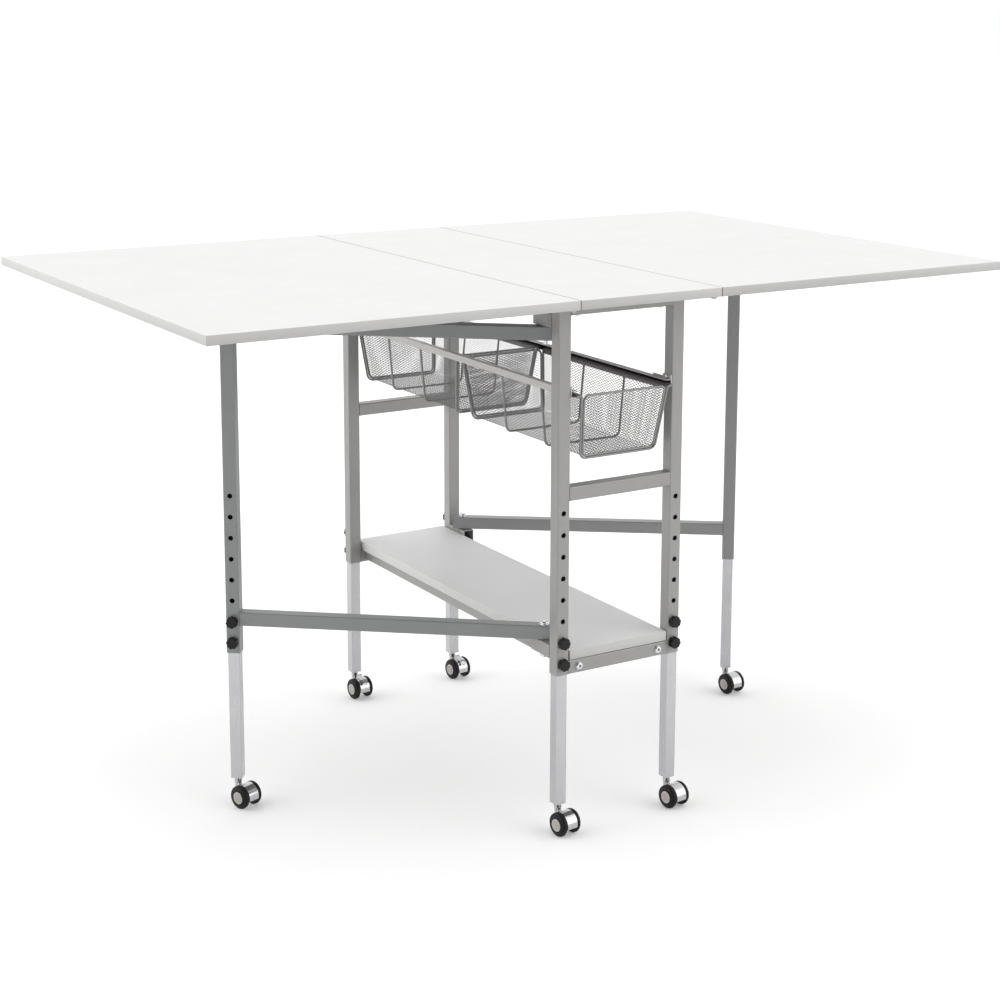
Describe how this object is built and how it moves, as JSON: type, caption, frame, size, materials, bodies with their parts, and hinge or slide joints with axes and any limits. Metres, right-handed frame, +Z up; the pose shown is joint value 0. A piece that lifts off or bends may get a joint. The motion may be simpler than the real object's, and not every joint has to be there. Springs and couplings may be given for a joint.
{
  "type": "folding cutting table",
  "caption": "Folding sewing and cutting table on casters, with drop leaves on swing-out gate legs, telescoping legs, a lower shelf and sliding mesh baskets.",
  "frame": {"origin": "on the floor, under the middle of the top", "axes": "+X along the long side of the open top, +Y towards the back, +Z up"},
  "size_m": [1.492, 0.927, 0.9],
  "materials": {
    "white_laminate": "white melamine on particle board",
    "shelf_laminate": "pale grey-white melamine on particle board",
    "silver_powder_coat": "silver-grey powder coat, satin",
    "zinc_tube": "bright satin zinc",
    "zinc_hardware": "zinc plated",
    "rail_steel": "satin",
    "black_plastic": "fine grained",
    "caster_chrome": "polished",
    "wheel_black": "moulded nylon, with grey hub caps",
    "basket_wire": "silver coated wire",
    "basket_mesh": "silver coated expanded mesh"
  },
  "bodies": {
    "base": {"front_end_frame": "silver_powder_coat", "back_end_frame": "silver_powder_coat", "center_top": "white_laminate", "center_hinge_plates": "zinc_hardware", "hinge_pins": "zinc_hardware", "shelf": "shelf_laminate", "left_side_stretcher": "silver_powder_coat", "right_side_stretcher": "silver_powder_coat", "stretcher_bolts": "zinc_hardware", "shelf_screws": "zinc_hardware", "top_screws": "zinc_hardware", "left_basket_rail": "rail_steel", "right_basket_rail": "rail_steel", "rail_screws": "zinc_hardware", "gate_pivot_bolts": "zinc_hardware"},
    "leaf_left": {"left_leaf": "white_laminate", "left_hinge_plates": "zinc_hardware"},
    "leaf_right": {"right_leaf": "white_laminate", "right_hinge_plates": "zinc_hardware"},
    "gate_left": {"left_gate_frame": "silver_powder_coat", "left_gate_glide": "black_plastic"},
    "gate_right": {"right_gate_frame": "silver_powder_coat", "right_gate_glide": "black_plastic"},
    "basket_front": {"front_basket_frame": "basket_wire", "front_basket_mesh": "basket_mesh"},
    "basket_back": {"back_basket_frame": "basket_wire", "back_basket_mesh": "basket_mesh"},
    "leg_front_left": {"front_left_inner_leg": "zinc_tube"},
    "knob_front_left_lower": {"front_left_lower_knob": "black_plastic"},
    "knob_front_left_upper": {"front_left_upper_knob": "black_plastic"},
    "caster_front_left": {"front_left_caster_housing": "caster_chrome"},
    "wheels_front_left": {"front_left_caster_wheels": "wheel_black"},
    "leg_front_right": {"front_right_inner_leg": "zinc_tube"},
    "knob_front_right_lower": {"front_right_lower_knob": "black_plastic"},
    "knob_front_right_upper": {"front_right_upper_knob": "black_plastic"},
    "caster_front_right": {"front_right_caster_housing": "caster_chrome"},
    "wheels_front_right": {"front_right_caster_wheels": "wheel_black"},
    "leg_back_left": {"back_left_inner_leg": "zinc_tube"},
    "knob_back_left_lower": {"back_left_lower_knob": "black_plastic"},
    "knob_back_left_upper": {"back_left_upper_knob": "black_plastic"},
    "caster_back_left": {"back_left_caster_housing": "caster_chrome"},
    "wheels_back_left": {"back_left_caster_wheels": "wheel_black"},
    "pedal_back_left": {"back_left_brake_lever": "caster_chrome"},
    "leg_back_right": {"back_right_inner_leg": "zinc_tube"},
    "knob_back_right_lower": {"back_right_lower_knob": "black_plastic"},
    "knob_back_right_upper": {"back_right_upper_knob": "black_plastic"},
    "caster_back_right": {"back_right_caster_housing": "caster_chrome"},
    "wheels_back_right": {"back_right_caster_wheels": "wheel_black"},
    "pedal_back_right": {"back_right_brake_lever": "caster_chrome"},
    "leg_gate_left": {"gate_left_inner_leg": "zinc_tube"},
    "knob_gate_left_lower": {"gate_left_lower_knob": "black_plastic"},
    "knob_gate_left_upper": {"gate_left_upper_knob": "black_plastic"},
    "caster_gate_left": {"gate_left_caster_housing": "caster_chrome"},
    "wheels_gate_left": {"gate_left_caster_wheels": "wheel_black"},
    "leg_gate_right": {"gate_right_inner_leg": "zinc_tube"},
    "knob_gate_right_lower": {"gate_right_lower_knob": "black_plastic"},
    "knob_gate_right_upper": {"gate_right_upper_knob": "black_plastic"},
    "caster_gate_right": {"gate_right_caster_housing": "caster_chrome"},
    "wheels_gate_right": {"gate_right_caster_wheels": "wheel_black"}
  },
  "joints": [
    {"name": "leaf_left_lift", "type": "hinge", "parent": "base", "child": "leaf_left", "pos_m": [-0.1347, 0, 0.8816], "axis": [0, 1, 0], "range_deg": [0, 2]},
    {"name": "leaf_right_lift", "type": "hinge", "parent": "base", "child": "leaf_right", "pos_m": [0.1347, 0, 0.8816], "axis": [0, -1, 0], "range_deg": [0, 2]},
    {"name": "gate_left_swing", "type": "hinge", "parent": "base", "child": "gate_left", "pos_m": [-0.11, -0.325, 0.34], "axis": [0, 0, 1], "range_deg": [-51.1, 38.9]},
    {"name": "gate_right_swing", "type": "hinge", "parent": "base", "child": "gate_right", "pos_m": [0.11, 0.325, 0.34], "axis": [0, 0, 1], "range_deg": [-53.9, 36.1]},
    {"name": "basket_front_slide", "type": "slide", "parent": "base", "child": "basket_front", "axis": [0, -1, 0], "range_m": [0, 0.28]},
    {"name": "basket_back_slide", "type": "slide", "parent": "base", "child": "basket_back", "axis": [0, 1, 0], "range_m": [0, 0.28]},
    {"name": "leg_front_left_slide", "type": "slide", "parent": "base", "child": "leg_front_left", "axis": [0, 0, 1], "range_m": [0, 0.216]},
    {"name": "screw_front_left_lower_turn", "type": "hinge", "parent": "leg_front_left", "child": "knob_front_left_lower", "pos_m": [-0.11, -0.382, 0.29], "axis": [0, -1, 0], "continuous": true},
    {"name": "screw_front_left_upper_turn", "type": "hinge", "parent": "leg_front_left", "child": "knob_front_left_upper", "pos_m": [-0.11, -0.382, 0.326], "axis": [0, -1, 0], "continuous": true},
    {"name": "swivel_front_left_turn", "type": "hinge", "parent": "leg_front_left", "child": "caster_front_left", "pos_m": [-0.11, -0.37, 0.05], "axis": [0, 0, 1], "continuous": true},
    {"name": "wheels_front_left_roll", "type": "hinge", "parent": "caster_front_left", "child": "wheels_front_left", "pos_m": [-0.10736, -0.38882, 0.02], "axis": [0.9903, 0.1392, 0], "continuous": true},
    {"name": "leg_front_right_slide", "type": "slide", "parent": "base", "child": "leg_front_right", "axis": [0, 0, 1], "range_m": [0, 0.216]},
    {"name": "screw_front_right_lower_turn", "type": "hinge", "parent": "leg_front_right", "child": "knob_front_right_lower", "pos_m": [0.11, -0.382, 0.29], "axis": [0, -1, 0], "continuous": true},
    {"name": "screw_front_right_upper_turn", "type": "hinge", "parent": "leg_front_right", "child": "knob_front_right_upper", "pos_m": [0.11, -0.382, 0.326], "axis": [0, -1, 0], "continuous": true},
    {"name": "swivel_front_right_turn", "type": "hinge", "parent": "leg_front_right", "child": "caster_front_right", "pos_m": [0.11, -0.37, 0.05], "axis": [0, 0, 1], "continuous": true},
    {"name": "wheels_front_right_roll", "type": "hinge", "parent": "caster_front_right", "child": "wheels_front_right", "pos_m": [0.11264, -0.38882, 0.02], "axis": [0.9903, 0.1392, 0], "continuous": true},
    {"name": "leg_back_left_slide", "type": "slide", "parent": "base", "child": "leg_back_left", "axis": [0, 0, 1], "range_m": [0, 0.216]},
    {"name": "screw_back_left_lower_turn", "type": "hinge", "parent": "leg_back_left", "child": "knob_back_left_lower", "pos_m": [-0.11, 0.382, 0.29], "axis": [0, 1, 0], "continuous": true},
    {"name": "screw_back_left_upper_turn", "type": "hinge", "parent": "leg_back_left", "child": "knob_back_left_upper", "pos_m": [-0.11, 0.382, 0.326], "axis": [0, 1, 0], "continuous": true},
    {"name": "swivel_back_left_turn", "type": "hinge", "parent": "leg_back_left", "child": "caster_back_left", "pos_m": [-0.11, 0.37, 0.05], "axis": [0, 0, 1], "continuous": true},
    {"name": "wheels_back_left_roll", "type": "hinge", "parent": "caster_back_left", "child": "wheels_back_left", "pos_m": [-0.10801, 0.3511, 0.02], "axis": [0.9945, 0.1045, 0], "continuous": true},
    {"name": "pedal_back_left_lift", "type": "hinge", "parent": "caster_back_left", "child": "pedal_back_left", "pos_m": [-0.10617, 0.33356, 0.03281], "axis": [0.9945, 0.1045, 0], "range_deg": [0, 14]},
    {"name": "leg_back_right_slide", "type": "slide", "parent": "base", "child": "leg_back_right", "axis": [0, 0, 1], "range_m": [0, 0.216]},
    {"name": "screw_back_right_lower_turn", "type": "hinge", "parent": "leg_back_right", "child": "knob_back_right_lower", "pos_m": [0.11, 0.382, 0.29], "axis": [0, 1, 0], "continuous": true},
    {"name": "screw_back_right_upper_turn", "type": "hinge", "parent": "leg_back_right", "child": "knob_back_right_upper", "pos_m": [0.11, 0.382, 0.326], "axis": [0, 1, 0], "continuous": true},
    {"name": "swivel_back_right_turn", "type": "hinge", "parent": "leg_back_right", "child": "caster_back_right", "pos_m": [0.11, 0.37, 0.05], "axis": [0, 0, 1], "continuous": true},
    {"name": "wheels_back_right_roll", "type": "hinge", "parent": "caster_back_right", "child": "wheels_back_right", "pos_m": [0.11232, 0.35114, 0.02], "axis": [0.9925, 0.1219, 0], "continuous": true},
    {"name": "pedal_back_right_lift", "type": "hinge", "parent": "caster_back_right", "child": "pedal_back_right", "pos_m": [0.11446, 0.33364, 0.03281], "axis": [0.9925, 0.1219, 0], "range_deg": [0, 14]},
    {"name": "leg_gate_left_slide", "type": "slide", "parent": "gate_left", "child": "leg_gate_left", "axis": [0, 0, 1], "range_m": [0, 0.216]},
    {"name": "screw_gate_left_lower_turn", "type": "hinge", "parent": "leg_gate_left", "child": "knob_gate_left_lower", "pos_m": [-0.52378, -0.00654, 0.29], "axis": [-0.628, -0.7782, 0], "continuous": true},
    {"name": "screw_gate_left_upper_turn", "type": "hinge", "parent": "leg_gate_left", "child": "knob_gate_left_upper", "pos_m": [-0.52378, -0.00654, 0.326], "axis": [-0.628, -0.7782, 0], "continuous": true},
    {"name": "swivel_gate_left_turn", "type": "hinge", "parent": "leg_gate_left", "child": "caster_gate_left", "pos_m": [-0.51624, 0.0028, 0.05], "axis": [0, 0, 1], "continuous": true},
    {"name": "wheels_gate_left_roll", "type": "hinge", "parent": "caster_gate_left", "child": "wheels_gate_left", "pos_m": [-0.50975, -0.01506, 0.02], "axis": [0.9397, 0.342, 0], "continuous": true},
    {"name": "leg_gate_right_slide", "type": "slide", "parent": "gate_right", "child": "leg_gate_right", "axis": [0, 0, 1], "range_m": [0, 0.216]},
    {"name": "screw_gate_right_lower_turn", "type": "hinge", "parent": "leg_gate_right", "child": "knob_gate_right_lower", "pos_m": [0.53884, 0.02713, 0.29], "axis": [0.5892, 0.808, 0], "continuous": true},
    {"name": "screw_gate_right_upper_turn", "type": "hinge", "parent": "leg_gate_right", "child": "knob_gate_right_upper", "pos_m": [0.53884, 0.02713, 0.326], "axis": [0.5892, 0.808, 0], "continuous": true},
    {"name": "swivel_gate_right_turn", "type": "hinge", "parent": "leg_gate_right", "child": "caster_gate_right", "pos_m": [0.53177, 0.01744, 0.05], "axis": [0, 0, 1], "continuous": true},
    {"name": "wheels_gate_right_roll", "type": "hinge", "parent": "caster_gate_right", "child": "wheels_gate_right", "pos_m": [0.5331, -0.00151, 0.02], "axis": [0.9976, 0.0698, 0], "continuous": true}
  ]
}
